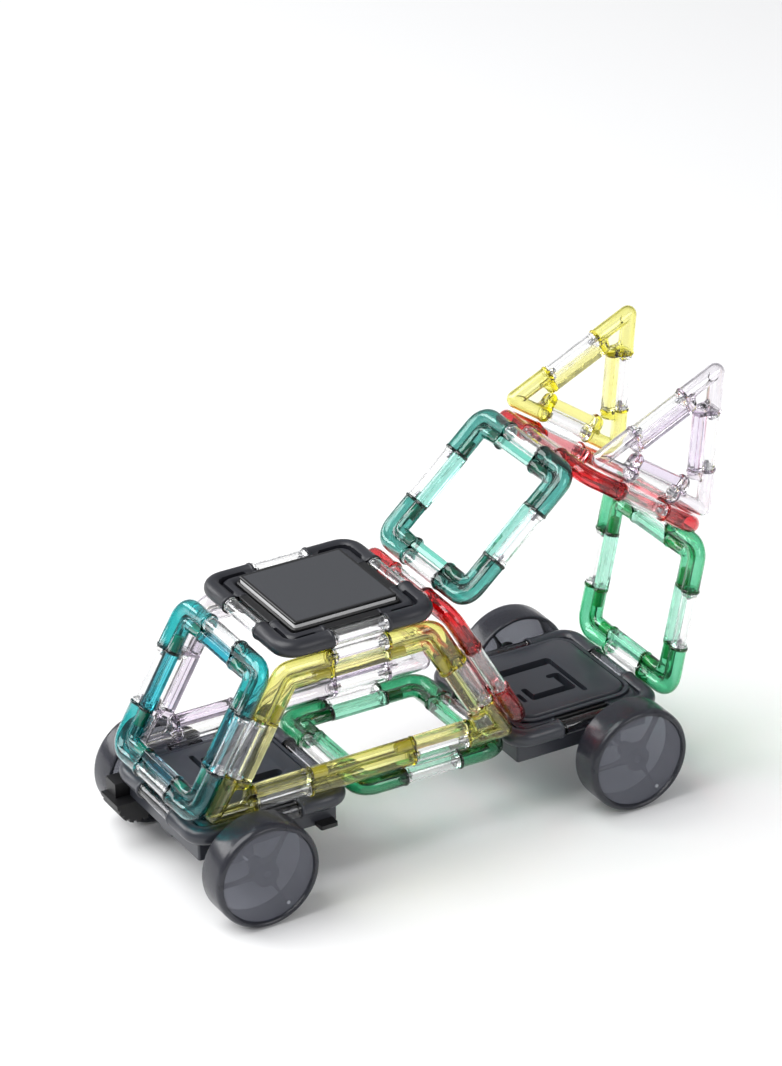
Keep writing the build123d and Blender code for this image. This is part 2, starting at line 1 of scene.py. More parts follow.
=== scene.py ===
"""Looks of the solar car of magnetic open frames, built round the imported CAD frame.

Pieces are modelled in millimetres in the plane of their own frame, x along its lowest side, y towards its top
and z out of it, and are placed in the car in metres.
"""

import json
import math

import bmesh
import bpy
from mathutils import Matrix, Vector

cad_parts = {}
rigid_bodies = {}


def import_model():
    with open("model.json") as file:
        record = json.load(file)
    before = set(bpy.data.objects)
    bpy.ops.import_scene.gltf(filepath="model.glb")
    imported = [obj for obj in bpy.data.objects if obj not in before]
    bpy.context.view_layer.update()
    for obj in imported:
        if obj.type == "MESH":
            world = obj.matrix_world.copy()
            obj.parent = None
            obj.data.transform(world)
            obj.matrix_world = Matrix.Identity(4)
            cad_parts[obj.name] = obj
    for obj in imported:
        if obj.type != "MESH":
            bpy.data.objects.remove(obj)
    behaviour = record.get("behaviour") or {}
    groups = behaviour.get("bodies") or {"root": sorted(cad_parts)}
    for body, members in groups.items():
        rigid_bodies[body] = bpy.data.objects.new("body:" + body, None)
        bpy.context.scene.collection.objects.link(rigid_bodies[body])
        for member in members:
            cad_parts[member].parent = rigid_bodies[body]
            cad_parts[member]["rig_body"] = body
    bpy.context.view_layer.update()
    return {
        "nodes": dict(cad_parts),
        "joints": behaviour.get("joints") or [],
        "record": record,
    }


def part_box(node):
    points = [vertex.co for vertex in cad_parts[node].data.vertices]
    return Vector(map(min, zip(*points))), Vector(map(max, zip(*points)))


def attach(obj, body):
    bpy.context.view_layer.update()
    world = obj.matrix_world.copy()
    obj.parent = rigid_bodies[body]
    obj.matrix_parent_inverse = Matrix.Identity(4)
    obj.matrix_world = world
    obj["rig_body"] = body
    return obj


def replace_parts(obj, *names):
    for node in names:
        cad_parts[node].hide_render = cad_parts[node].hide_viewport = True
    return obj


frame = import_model()

MM = 0.001
AS_BUILT = Matrix.Identity(4)

# Open frame
PITCH = 65.0  # outer side of a square
SPAN = 22.0  # gap between two elbows
TUBE_R = 3.3
LOBE_R = 2.6  # inner tube
COLLAR_GROW = 0.3
LOBE_STEP = 5.1  # outer tube's axis to the inner tube's
OUTER_BEND = 6.0
INNER_BEND = 3.0
CUP = 3.4  # length of a 60 degree elbow's inner cup
NECK = 1.6  # half thickness between the two tubes
WALL = 0.65
END_WALL = 1.1
RAIL_W = 3.6  # in the plane of the frame
RAIL_T = 5.0
RAIL_EDGE = 0.55
TENON_R = 1.85
TENON_LENGTH = 7.2
BARREL_R = 2.9
BARREL_RIM_R = 3.1
BARREL_BORE_R = 2.3
BARREL_PLAY = 0.15
PIN_R = 0.9
WEB_T = 0.25
WEB_BACK = 1.4  # from an arm's end
WEB_TIP_BACK = 2.2
WEB_SHORT = 0.6  # of the inner tube's axis
WEB_BITE = 0.3  # into the outer tube's wall
WINDOW_PRESS = 0.66
RING = 32  # points round the outer tube
LOBE_RING = 22
ROUND = 36  # points round a bore
TURNED = 44  # steps round a barrel
BEND_STEPS = 12
ARC_STEPS = 24
CORNER_STEPS = 10

SIDE = PITCH - 2 * TUBE_R
ARM_REACH = (PITCH - SPAN) / 2
TRIANGLE_SIDE = PITCH - 2 * TUBE_R / math.tan(math.radians(30))
TRAPEZOID_BASE = TRIANGLE_SIDE + PITCH
TRAPEZOID_TOP = PITCH - 2 * TUBE_R / math.tan(math.radians(60))
TRAPEZOID_HEIGHT = (TRAPEZOID_BASE - TRAPEZOID_TOP) / 2 * math.tan(math.radians(60))

# Distance from an arm's end, and how far the collar stands out there
COLLAR = (
    (0.0, 0.08), (0.12, COLLAR_GROW - 0.06), (0.3, COLLAR_GROW), (0.8, COLLAR_GROW),
    (0.98, COLLAR_GROW - 0.06), (1.1, 0.08), (1.25, 0.0),
)
# Distance from a 60 degree arm's end, and how much of the inner cup is left there
CUP_FADE = (
    (CUP - 1.2, 1.0), (CUP - 0.5, 0.94), (CUP, 0.72), (CUP + 0.5, 0.38), (CUP + 1.1, 0.14), (CUP + 2.0, 0.0),
)

# Bases and solar panel: slabs as (z, half side, corner radius), from the underside round to the top
PLATE = (
    (-3.0, 21.6, 1.8), (-2.8, 21.8, 2.0), (2.2, 21.8, 2.0), (2.4, 23.6, 6.8), (2.8, 23.8, 6.9),
    (2.9, 24.8, 7.8), (3.05, 25.0, 8.0), (3.55, 25.0, 8.0), (3.8, 24.75, 7.75), (3.8, 23.5, 6.9),
    (2.9, 23.35, 6.8), (2.9, 22.85, 6.5), (3.9, 22.7, 6.4), (4.45, 22.35, 6.1), (4.6, 22.0, 5.9),
)
TRAY = (
    (-2.6, 21.5, 1.8), (-2.4, 21.8, 2.0), (2.5, 21.8, 2.0), (3.0, 21.4, 1.8), (3.0, 21.1, 1.4),
    (2.8, 20.95, 1.2), (2.1, 20.95, 1.2),
)
# Grooves of the snap latch: (x, y, length, width)
LATCH = (
    (-3.1, 9.6, 24.2, 4.6), (7.9, -3.4, 2.1, 26.6), (4.4, -6.6, 3.5, 13.6), (-3.4, -11.5, 19.2, 3.8),
    (-11.7, -8.4, 2.5, 9.0), (-15.6, -9.6, 1.8, 6.6), (2.9, -0.9, 4.8, 2.6),
)
LATCH_FLOOR = -1.4
LATCH_TOP = 6.0
LATCH_ROUND = 0.42  # corner radius over width
# Trench between the two tubes of a corner: (reach, half width, floor)
BASE_TRENCH = (15.5, 0.45, 0.9)
SOLAR_TRENCH = (13.5, 0.85, 0.0)
TRENCH_TOP = 5.0
TRENCH_TAPER = 0.3  # width at the ends over the full width
VALLEY = 2.95  # from the outer tube's axis
PLATE_ANGLE = 25  # degrees from which an edge of the plate or tray is sharp

# Wheels: (distance from the inner edge, radius) round half sections
WHEEL_R = 20.5
TREAD_PROFILE = (
    (12.0, 18.0), (12.2, 18.1), (12.75, 18.35), (12.98, 18.7), (13.0, 19.1), (12.85, 19.55), (12.4, 20.0),
    (11.6, 20.38), (10.6, WHEEL_R), (1.0, WHEEL_R), (0.35, 20.35), (0.06, 20.0), (0.0, 19.6), (0.06, 19.2),
    (0.35, 18.95), (9.6, 18.6), (10.4, 18.3), (10.8, 17.9),
)
FACE_PROFILE = (
    (12.5, 0.0), (12.45, 8.0), (12.25, 15.0), (12.15, 17.4), (12.05, 17.9), (10.9, 17.8), (10.9, 0.0),
)
HUB_PROFILE = ((1.0, 1.55), (1.0, 2.6), (1.3, 2.9), (8.8, 3.2), (10.2, 4.0), (10.88, 4.9), (10.88, 1.55))
GATE_MARK_PROFILE = ((12.1, 0.0), (12.1, 0.75), (12.45, 0.7), (12.6, 0.45), (12.62, 0.0))
WHEEL_STEPS = 72
HUB_STEPS = 32
SMALL_STEPS = 16
WHEEL_ANGLE = 30  # degrees from which an edge is sharp
GATE_MARK_SHARP = 60
GATE_MARK_ANGLE = -60
GATE_MARK_AT = 15.0  # from the axle
SPOKE_ANGLES = (60, 180, 300)
# (distance from the axle, half thickness, inner edge) along a spoke
SPOKE = (
    (2.4, 2.3, 3.4), (4.2, 1.2, 6.0), (6.4, 0.6, 8.2), (10.0, 0.4, 8.8), (14.0, 0.36, 8.8), (17.4, 0.45, 8.4),
    (18.6, 0.8, 7.6),
)
SPOKE_OUTER = 10.84
SPOKE_SPREAD = 1.15  # thickness at the outer edge over the inner edge

# Materials
BARREL_WALLS = 2 * (BARREL_R - BARREL_BORE_R)
CLEAR_ENDS = 0.5  # a rail end's painted-shade colour paler than this stays clear and is seen through; a darker one is opaque
CELL_LINES = 520.0  # scale of the wave that draws them
CELL_BORDER = 1.1

# Camera
VIEW_AZIMUTH = -29.63
VIEW_ELEVATION = 27.42
VIEW_ROLL = -0.89
VIEW_DISTANCE = 1.634
VIEW_AIM = Vector((-0.0008, 0.0151, 0.1047))
SENSOR = 36.0
FOCAL_LENGTH = 152.5


# ---------------------------------------------------------------- mesh helpers


def solid(loops, inward=False):
    """A closed mesh lofted through equal loops of points, with a flat face on each end."""
    bm = bmesh.new()
    rows = [[bm.verts.new(p) for p in loop] for loop in loops]
    count = len(loops[0])
    for low, high in zip(rows, rows[1:]):
        for j in range(count):
            k = (j + 1) % count
            bm.faces.new((low[j], low[k], high[k], high[j]))
    bm.faces.new(rows[0])
    bm.faces.new(rows[-1])
    bmesh.ops.remove_doubles(bm, verts=bm.verts, dist=1e-4)
    bmesh.ops.recalc_face_normals(bm, faces=bm.faces)
    if inward:
        bmesh.ops.reverse_faces(bm, faces=bm.faces)
    mesh = bpy.data.meshes.new("part")
    bm.to_mesh(mesh)
    bm.free()
    return mesh


def lathe(profile, steps):
    """A closed mesh turned round the X axis from an (x, r) profile that starts on the axis or is a loop."""
    bm = bmesh.new()
    rows = []
    for i in range(steps):
        a = 2 * math.pi * i / steps
        rows.append([bm.verts.new((x, r * math.cos(a), r * math.sin(a))) for x, r in profile])
    sides = len(profile) if profile[0][1] > 0 else len(profile) - 1
    for i in range(steps):
        here, there = rows[i], rows[(i + 1) % steps]
        for j in range(sides):
            k = (j + 1) % len(profile)
            bm.faces.new((here[j], here[k], there[k], there[j]))
    bmesh.ops.remove_doubles(bm, verts=bm.verts, dist=1e-4)
    bmesh.ops.dissolve_degenerate(bm, edges=bm.edges, dist=1e-5)
    bmesh.ops.recalc_face_normals(bm, faces=bm.faces)
    mesh = bpy.data.meshes.new("part")
    bm.to_mesh(mesh)
    bm.free()
    return mesh


def gather(parts, placement):
    """One bmesh of placed copies: parts is a list of (mesh, local matrix)."""
    bm = bmesh.new()
    for mesh, local in parts:
        copy = mesh.copy()
        copy.transform(placement @ local)
        bm.from_mesh(copy)
        bpy.data.meshes.remove(copy)
    return bm


def placed(mesh, placement):
    """One bmesh of a single placed mesh."""
    return gather([(mesh, AS_BUILT)], placement)


def piece(name, bm, material, body, sharp_angle=38):
    """A new object from a bmesh, riding on a CAD body."""
    mesh = bpy.data.meshes.new(name)
    bm.to_mesh(mesh)
    bm.free()
    mesh.materials.append(material)
    mesh.polygons.foreach_set("use_smooth", [True] * len(mesh.polygons))
    mesh.set_sharp_from_angle(angle=math.radians(sharp_angle))
    obj = bpy.data.objects.new(name, mesh)
    bpy.context.scene.collection.objects.link(obj)
    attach(obj, body)
    return obj


def axes(origin, x_dir, z_dir):
    """Matrix from a frame's own millimetres to the car's metres."""
    x, z = Vector(x_dir).normalized(), Vector(z_dir).normalized()
    y = z.cross(x)
    turn = Matrix((x, y, z)).transposed().to_4x4()
    return Matrix.Translation(origin) @ turn @ Matrix.Scale(MM, 4)


def spin(degrees):
    """A turn in the frame's plane."""
    return Matrix.Rotation(math.radians(degrees), 4, "Z")


# ---------------------------------------------------------------- places in the car


def leaning(name, angle):
    """Axes of a square whose lowest tube lies across the car and whose sides climb at an angle to +X."""
    low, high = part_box(name + "_frame")
    a = math.radians(angle)
    up = Vector((math.cos(a), 0, math.sin(a)))
    origin = (low + high) / 2 - up * (SIDE / 2 * MM)
    return axes(origin, (0, 1, 0), (math.sin(a), 0, -math.cos(a)))


def flat(name):
    """Axes of a square that lies level."""
    low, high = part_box(name + "_frame")
    origin = (low + high) / 2 - Vector((0, SIDE / 2 * MM, 0))
    return axes(origin, (1, 0, 0), (0, 0, 1))


def seat(node):
    """The middle of a node's box, at the height of the axes of its lowest tubes."""
    low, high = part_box(node)
    return Vector(((low.x + high.x) / 2, (low.y + high.y) / 2, low.z + (TUBE_R + COLLAR_GROW) * MM))


def upright(name):
    """Axes of a frame that stands along the car."""
    return axes(seat(name + "_frame"), (1, 0, 0), (0, -1, 0))


def fin(name, angle):
    """Axes of a triangle that stands on its hinge, which climbs at an angle to +X."""
    joint = next(j for j in frame["joints"] if j["name"] == name + "_hinge")
    a = math.radians(angle)
    return axes(Vector(joint["pos_m"]), (math.cos(a), 0, math.sin(a)), (0, -1, 0))


# ---------------------------------------------------------------- open frames


def arm_at(angle):
    """From an elbow's corner, where the tube axes cross, to the end of its arm."""
    return ARM_REACH - TUBE_R / math.tan(math.radians(angle / 2))


def section(tube, lobe, gap, presence=1.0):
    """Outline of an arm: (inward, out of plane) points round an outer and an inner tube, joined at a neck.

    With presence 0 the inner tube has sunk into the outer one.
    """
    start = math.asin(NECK / tube)
    lobe_start = math.asin(NECK / lobe)
    two = []
    for i in range(RING):
        a = start + (2 * math.pi - 2 * start) * i / (RING - 1)
        two.append((tube * math.cos(a), tube * math.sin(a)))
    for i in range(LOBE_RING):
        a = -(math.pi - lobe_start) + (2 * math.pi - 2 * lobe_start) * i / (LOBE_RING - 1)
        two.append((gap + lobe * math.cos(a), lobe * math.sin(a)))
    if presence >= 1.0:
        return two
    inner_arc = 2 * start
    one = two[:RING]
    for i in range(LOBE_RING):
        a = -start + inner_arc * (i + 1) / (LOBE_RING + 1)
        one.append((tube * math.cos(a), tube * math.sin(a)))
    one = flattened(one)
    away = 1 - presence
    return [(p * presence + q * away, r * presence + s * away) for (p, r), (q, s) in zip(two, one)]


def flattened(outline):
    """A tube's outline with its inward half pressed flatter, as round the window of a 60 degree elbow."""
    return [(a * WINDOW_PRESS if a > 0 else a, b) for a, b in outline]


def ring(radius):
    """Outline of a round bore."""
    angles = [2 * math.pi * i / ROUND for i in range(ROUND)]
    return [(radius * math.cos(a), radius * math.sin(a)) for a in angles]


def set_out(outline, centre, inward):
    """Places outline points in the plane through centre that holds inward and Z."""
    return [centre + inward * a + Vector((0, 0, b)) for a, b in outline]


def filleted(corner, to_a, to_b, half, radius, steps, reach):
    """Points from reach along one leg, round the fillet, to reach along the other, evenly spaced."""
    tangent = radius / math.tan(half)
    middle = corner + (to_a + to_b).normalized() * (radius / math.sin(half))
    start = corner + to_a * tangent
    stop = corner + to_b * tangent
    arc = []
    spread = math.pi - 2 * half
    from_centre = start - middle
    sign = 1 if from_centre.cross(stop - middle).z > 0 else -1
    for i in range(ARC_STEPS + 1):
        arc.append(middle + Matrix.Rotation(sign * spread * i / ARC_STEPS, 3, "Z") @ from_centre)
    line = [corner + to_a * reach] + arc + [corner + to_b * reach]
    lengths = [0.0]
    for p, q in zip(line, line[1:]):
        lengths.append(lengths[-1] + (q - p).length)
    points = []
    for i in range(steps + 1):
        want = lengths[-1] * i / steps
        j = max(k for k in range(len(line) - 1) if lengths[k] <= want + 1e-9)
        part = lengths[j + 1] - lengths[j]
        t = 0.0 if part < 1e-9 else (want - lengths[j]) / part
        points.append(line[j].lerp(line[j + 1], min(t, 1.0)))
    return points


def corner_directions(angle):
    """Half the angle, the directions along both arms from the corner, and inward from each."""
    half = math.radians(angle / 2)
    to_a = Vector((math.cos(half), math.sin(half), 0))
    to_b = Vector((math.cos(half), -math.sin(half), 0))
    in_a = Vector((math.sin(half), -math.cos(half), 0))
    in_b = Vector((math.sin(half), math.cos(half), 0))
    return half, to_a, to_b, in_a, in_b


def collared_end(end, along, inward):
    """Loops from an arm's end, at a distance along, back through its collar."""
    loops = []
    for from_end, grow in COLLAR:
        outline = section(TUBE_R + grow, LOBE_R + grow, LOBE_STEP)
        loops.append(set_out(outline, along * (end - from_end), inward))
    return loops


def elbow_parts(angle):
    """Outer skin and the two bores of a 90 or 120 degree elbow."""
    half, to_a, to_b, in_a, in_b = corner_directions(angle)
    arm = arm_at(angle)
    outer_corner = Vector((0, 0, 0))
    inner_corner = Vector((LOBE_STEP / math.sin(half), 0, 0))
    inner_tangent = INNER_BEND / math.tan(half)
    reach = LOBE_STEP / math.tan(half) + inner_tangent
    outer_line = filleted(outer_corner, to_a, to_b, half, OUTER_BEND, BEND_STEPS, reach)
    inner_line = filleted(inner_corner, to_a, to_b, half, INNER_BEND, BEND_STEPS, inner_tangent)
    bend = []
    for outer, inner in zip(outer_line, inner_line):
        across = inner - outer
        bend.append(set_out(section(TUBE_R, LOBE_R, across.length), outer, across.normalized()))
    skin = solid(collared_end(arm, to_a, in_a) + bend + collared_end(arm, to_b, in_b)[::-1])
    bores = []
    for line, lift, radius in ((outer_line, 0.0, TUBE_R - WALL), (inner_line, LOBE_STEP, LOBE_R - WALL)):
        start = to_a * (arm - END_WALL) + in_a * lift
        stop = to_b * (arm - END_WALL) + in_b * lift
        bores.append(bore([start] + line + [stop], radius))
    return [skin] + bores


def bore(line, radius):
    """The inside of a tube: a round solid along points in the XY plane, with its faces turned inwards."""
    loops = []
    for i, p in enumerate(line):
        before, after = line[max(i - 1, 0)], line[min(i + 1, len(line) - 1)]
        heading = (after - before).normalized()
        side = Vector((heading.y, -heading.x, 0))
        loops.append(set_out(ring(radius), p, side))
    return solid(loops, inward=True)


def sharp_corner(outline, to_a, in_a, half):
    """Loops round a sharp corner: the outside swings round it and the inside is mitred."""
    loops = []
    spread = math.pi - 2 * half
    for i in range(CORNER_STEPS + 1):
        turn = Matrix.Rotation(spread * i / CORNER_STEPS, 3, "Z")
        loop = []
        for a, b in outline:
            if a > 0:
                loop.append(to_a * (a / math.tan(half)) + in_a * a + Vector((0, 0, b)))
            else:
                loop.append(turn @ (in_a * a) + Vector((0, 0, b)))
        loops.append(loop)
    return loops


def sharp_parts():
    """Skin, bore and window web of a 60 degree elbow."""
    half, to_a, to_b, in_a, in_b = corner_directions(60)
    arm = arm_at(60)
    legs = []
    for along, inward in ((to_a, in_a), (to_b, in_b)):
        leg = collared_end(arm, along, inward)
        for from_end, presence in CUP_FADE:
            outline = section(TUBE_R, LOBE_R, LOBE_STEP, presence)
            leg.append(set_out(outline, along * (arm - from_end), inward))
        legs.append(leg)
    corner = sharp_corner(section(TUBE_R, LOBE_R, LOBE_STEP, 0.0), to_a, in_a, half)
    skin = solid(legs[0] + corner + legs[1][::-1])
    bore_ring = flattened(ring(TUBE_R - WALL))
    bore_loops = [set_out(bore_ring, to_a * (arm - END_WALL), in_a)]
    bore_loops += sharp_corner(bore_ring, to_a, in_a, half)
    bore_loops += [set_out(bore_ring, to_b * (arm - END_WALL), in_b)]
    near = TUBE_R * WINDOW_PRESS - WEB_BITE
    far = LOBE_STEP - WEB_SHORT
    window = [
        Vector((near / math.sin(half), 0, 0)),
        to_a * (arm - WEB_BACK) + in_a * near,
        to_a * (arm - WEB_BACK) + in_a * far,
        Vector((arm / math.cos(half) - WEB_TIP_BACK, 0, 0)),
        to_b * (arm - WEB_BACK) + in_b * far,
        to_b * (arm - WEB_BACK) + in_b * near,
    ]
    web = solid([[p + Vector((0, 0, z)) for p in window] for z in (-WEB_T / 2, WEB_T / 2)])
    return [skin, solid(bore_loops, inward=True), web]


def straight_parts():
    """The straight piece between the two barrels of a long side, inner tube towards +y."""
    inward = Vector((0, 1, 0))
    low = collared_end(ARM_REACH, Vector((-1, 0, 0)), inward)
    high = collared_end(ARM_REACH, Vector((1, 0, 0)), inward)
    bores = []
    for lift, radius in ((0, TUBE_R - WALL), (LOBE_STEP, LOBE_R - WALL)):
        ends = [Vector((x, lift, 0)) for x in (END_WALL - ARM_REACH, ARM_REACH - END_WALL)]
        bores.append(bore(ends, radius))
    return [solid(low + high[::-1])] + bores


def rounded_rod(low, high, radius, edge):
    """(x, r) profile of a rod with softened ends."""
    part = edge * 0.3
    return [
        (low, 0), (low, radius - edge), (low + part, radius - part), (low + edge, radius),
        (high - edge, radius), (high - part, radius - part), (high, radius - edge), (high, 0),
    ]


def barrel_profile():
    """(x, r) profile of a hollow barrel with a rim and a pin hole at each end."""
    half = SPAN / 2 - BARREL_PLAY
    rim = 0.8
    hole = PIN_R + 0.1
    return [
        (-half, hole), (-half, BARREL_RIM_R - 0.15), (-half + 0.15, BARREL_RIM_R), (rim - half, BARREL_RIM_R),
        (rim - half + 0.2, BARREL_R), (half - rim - 0.2, BARREL_R), (half - rim, BARREL_RIM_R),
        (half - 0.15, BARREL_RIM_R), (half, BARREL_RIM_R - 0.15), (half, hole), (half - 1.0, hole),
        (half - 1.4, BARREL_BORE_R), (1.4 - half, BARREL_BORE_R), (1.0 - half, hole),
    ]


def outline_of(kind):
    """Corners of the outer tube axes, anticlockwise from the low left, with each corner's angle."""
    if kind == "square":
        return [(-SIDE / 2, 0, 90), (SIDE / 2, 0, 90), (SIDE / 2, SIDE, 90), (-SIDE / 2, SIDE, 90)]
    if kind == "triangle":
        height = TRIANGLE_SIDE * math.sin(math.radians(60))
        return [(-TRIANGLE_SIDE / 2, 0, 60), (TRIANGLE_SIDE / 2, 0, 60), (0, height, 60)]
    low, high = TRAPEZOID_BASE / 2, TRAPEZOID_TOP / 2
    return [(-low, 0, 60), (low, 0, 60), (high, TRAPEZOID_HEIGHT, 120), (-high, TRAPEZOID_HEIGHT, 120)]


def rounded_rectangle(half_x, half_y, radius, steps=6):
    """Outline of a rounded rectangle, anticlockwise from +x."""
    points = []
    for across, up, start in ((1, 1, 0), (-1, 1, 90), (-1, -1, 180), (1, -1, 270)):
        for i in range(steps + 1):
            a = math.radians(start + 90 * i / steps)
            x = across * (half_x - radius) + radius * math.cos(a)
            points.append((x, up * (half_y - radius) + radius * math.sin(a)))
    return points


def slab(levels):
    """A solid stacked from rounded squares: (z, half side, corner radius) from the bottom up."""
    loops = []
    for z, half, radius in levels:
        loops.append([Vector((x, y, z)) for x, y in rounded_rectangle(half, half, radius)])
    return solid(loops)


def cut(mesh, cutters):
    """The mesh less the cutters' meshes."""
    target = bpy.data.objects.new("cut_target", mesh)
    tool_mesh = bpy.data.meshes.new("cut_tool")
    tools = gather(cutters, AS_BUILT)
    tools.to_mesh(tool_mesh)
    tools.free()
    tool = bpy.data.objects.new("cut_tool", tool_mesh)
    for obj in (target, tool):
        bpy.context.scene.collection.objects.link(obj)
    modifier = target.modifiers.new("cut", "BOOLEAN")
    modifier.operation = "DIFFERENCE"
    modifier.solver = "EXACT"
    modifier.use_self = True
    modifier.object = tool
    result = bpy.data.meshes.new_from_object(target.evaluated_get(bpy.context.evaluated_depsgraph_get()))
    for obj in (target, tool):
        bpy.data.objects.remove(obj)
    return result


def block(size_x, size_y, low, high, radius):
    """An upright block with rounded corners, centred on the Z axis."""
    outline = rounded_rectangle(size_x / 2, size_y / 2, radius, 3)
    return solid([[Vector((x, y, z)) for x, y in outline] for z in (low, high)])


def rail_mesh():
    """A flat rail along X with softened edges."""
    outline = rounded_rectangle(RAIL_W / 2, RAIL_T / 2, RAIL_EDGE, 4)
    reach = SPAN / 2 - 0.02
    levels = ((-reach, 0.1), (-reach + 0.1, 0.0), (reach - 0.1, 0.0), (reach, 0.1))
    loops = []
    for x, inset in levels:
        shrink = 1 - 2 * inset / RAIL_W
        loops.append([Vector((x, a * shrink, b * shrink)) for a, b in outline])
    return solid(loops)


ELBOWS = {90: elbow_parts(90), 120: elbow_parts(120), 60: sharp_parts()}
STRAIGHT = straight_parts()
RAIL = rail_mesh()
TENON = lathe(rounded_rod(0, TENON_LENGTH - END_WALL, TENON_R, 0.4), 20)
BARREL = lathe(barrel_profile(), TURNED)
PIN = lathe(rounded_rod(-1.1, 3.0, PIN_R, 0.5), SMALL_STEPS)


def shell_places(kind):
    """The elbows and straight pieces of a frame, each with its place in it."""
    corners = outline_of(kind)
    parts = []
    for i, (x, y, angle) in enumerate(corners):
        next_x, next_y, _ = corners[(i + 1) % len(corners)]
        heading = math.degrees(math.atan2(next_y - y, next_x - x))
        local = Matrix.Translation((x, y, 0)) @ spin(heading + angle / 2)
        parts += [(part, local) for part in ELBOWS[angle]]
    if kind == "trapezoid":
        parts += [(part, AS_BUILT) for part in STRAIGHT]
    return parts


def barrel_places(kind):
    """Every barrel's own axes, and whether its low and high ends meet a deep socket."""
    corners = outline_of(kind)
    places = []
    for i, (x, y, angle) in enumerate(corners):
        next_x, next_y, next_angle = corners[(i + 1) % len(corners)]
        along = Vector((next_x - x, next_y - y, 0))
        long_side = along.length > PITCH
        heading = math.degrees(math.atan2(along.y, along.x))
        spot = Vector((x, y, 0)) + along.normalized() * (arm_at(angle) + SPAN / 2)
        places.append((Matrix.Translation(spot) @ spin(heading), angle > 60, long_side or next_angle > 60))
        if long_side:
            spot = spot + along.normalized() * PITCH
            places.append((Matrix.Translation(spot) @ spin(heading), True, next_angle > 60))
    return places


def build_barrels(name, suffix, kind, placement, material, body):
    """The barrels of one frame and their pins, in place of its CAD nodes."""
    places = [local for local, _, _ in barrel_places(kind)]
    barrels = gather([(BARREL, local) for local in places], placement)
    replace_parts(piece(name + suffix, barrels, material, body), name + "_barrels")
    pins = []
    for local in places:
        pins.append((PIN, local @ Matrix.Translation((-SPAN / 2, 0, 0))))
        pins.append((PIN, local @ Matrix.Translation((SPAN / 2, 0, 0)) @ spin(180)))
    metal_pins = piece(name + "_pins", gather(pins, placement), PIN_METAL, body)
    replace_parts(metal_pins, name + "_magnets")


def build_frame(name, kind, placement, plastics):
    """All the visible pieces of one open frame, in place of its CAD nodes."""
    body = frame["nodes"][name + "_frame"]["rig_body"]
    shells = gather(shell_places(kind), placement)
    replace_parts(piece(name + "_shell", shells, plastics["shell"], body), name + "_frame")
    lift = Matrix.Translation((0, LOBE_STEP, 0))
    rails, tenons = [], []
    for local, low_deep, high_deep in barrel_places(kind):
        rails.append((RAIL, local @ lift))
        if low_deep:
            tenons.append((TENON, local @ lift @ Matrix.Translation((-SPAN / 2 - TENON_LENGTH, 0, 0))))
        if high_deep:
            tenons.append((TENON, local @ lift @ Matrix.Translation((SPAN / 2 + END_WALL, 0, 0))))
    piece(name + "_rails", gather(rails, placement), plastics["rail"], body)
    if tenons:
        # The rail ends wear a deeper copy of the rail's colour, painted shade for the inside of the elbows'
        # sockets.
        piece(name + "_rail_ends", gather(tenons, placement), plastics["tenon"], body)
    build_barrels(name, "_clear_barrels", kind, placement, BARREL_CLEAR, body)


# ---------------------------------------------------------------- bases, solar panel and wheels


def trenched_corner(reach, half_width, floor):
    """A solid right-angled corner with a trench in the valley between its two tubes, on its upper side."""
    half, to_a, to_b, _, _ = corner_directions(90)
    corner = Vector((VALLEY / math.sin(half), 0, 0))
    valley_reach = reach - VALLEY / math.tan(half)
    line = filleted(corner, to_a, to_b, half, OUTER_BEND - VALLEY, BEND_STEPS, valley_reach)
    line = [line[0] + to_a * half_width] + line + [line[-1] + to_b * half_width]
    loops = []
    for i, p in enumerate(line):
        heading = (line[min(i + 1, len(line) - 1)] - line[max(i - 1, 0)]).normalized()
        across = Vector((heading.y, -heading.x, 0))
        width = half_width * (TRENCH_TAPER if i in (0, len(line) - 1) else 1.0)
        outline = [(-width, floor), (width, floor), (width, TRENCH_TOP), (-width, TRENCH_TOP)]
        loops.append(set_out(outline, p, across))
    return cut(ELBOWS[90][0], [(solid(loops), AS_BUILT)])


def rim_parts(corner):
    """Corner skins and black rails of a base or of the solar frame."""
    skins = [(corner, local) for part, local in shell_places("square") if part is ELBOWS[90][0]]
    lift = Matrix.Translation((0, LOBE_STEP, 0))
    rails = [(RAIL, local @ lift) for local, _, _ in barrel_places("square")]
    return skins, rails


def build_base(end, turn):
    """A wheeled base: corners, plate with latch grooves, rails and smoky barrels."""
    name = end + "_base"
    body = frame["nodes"][name]["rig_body"]
    placement = axes(seat(name), (1, 0, 0), (0, 0, 1)) @ spin(turn)
    rim_placement = placement @ Matrix.Translation((0, -SIDE / 2, 0))
    skins, rails = rim_parts(trenched_corner(*BASE_TRENCH))
    grooves = []
    for x, y, length, width in LATCH:
        groove = block(length, width, LATCH_FLOOR, LATCH_TOP, LATCH_ROUND * min(length, width))
        grooves.append((groove, Matrix.Translation((x, y, 0))))
    plate = cut(slab(PLATE), grooves)
    corners = piece(name + "_corners", gather(skins, rim_placement), CHARCOAL, body)
    piece(name + "_plate", placed(plate, placement), CHARCOAL, body, PLATE_ANGLE)
    piece(name + "_rails", gather(rails, rim_placement), BLACK, body)
    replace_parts(corners, name)
    build_barrels(name, "_turning_barrels", "square", rim_placement, BARREL_SMOKY, body)


def build_solar_panel():
    """The solar square: corners, tray under the cell, rails and clear barrels."""
    name = "solar_panel"
    placement = flat(name)
    body = frame["nodes"][name + "_frame"]["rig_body"]
    skins, rails = rim_parts(trenched_corner(*SOLAR_TRENCH))
    middle = Matrix.Translation((0, SIDE / 2, 0))
    corners = piece(name + "_corners", gather(skins, placement), SOLAR_CHARCOAL, body)
    piece(name + "_tray", gather([(slab(TRAY), middle)], placement), BLACK, body, PLATE_ANGLE)
    piece(name + "_rails", gather(rails, placement), BLACK, body)
    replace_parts(corners, name + "_frame")
    build_barrels(name, "_turning_barrels", "square", placement, BARREL_CLEAR, body)


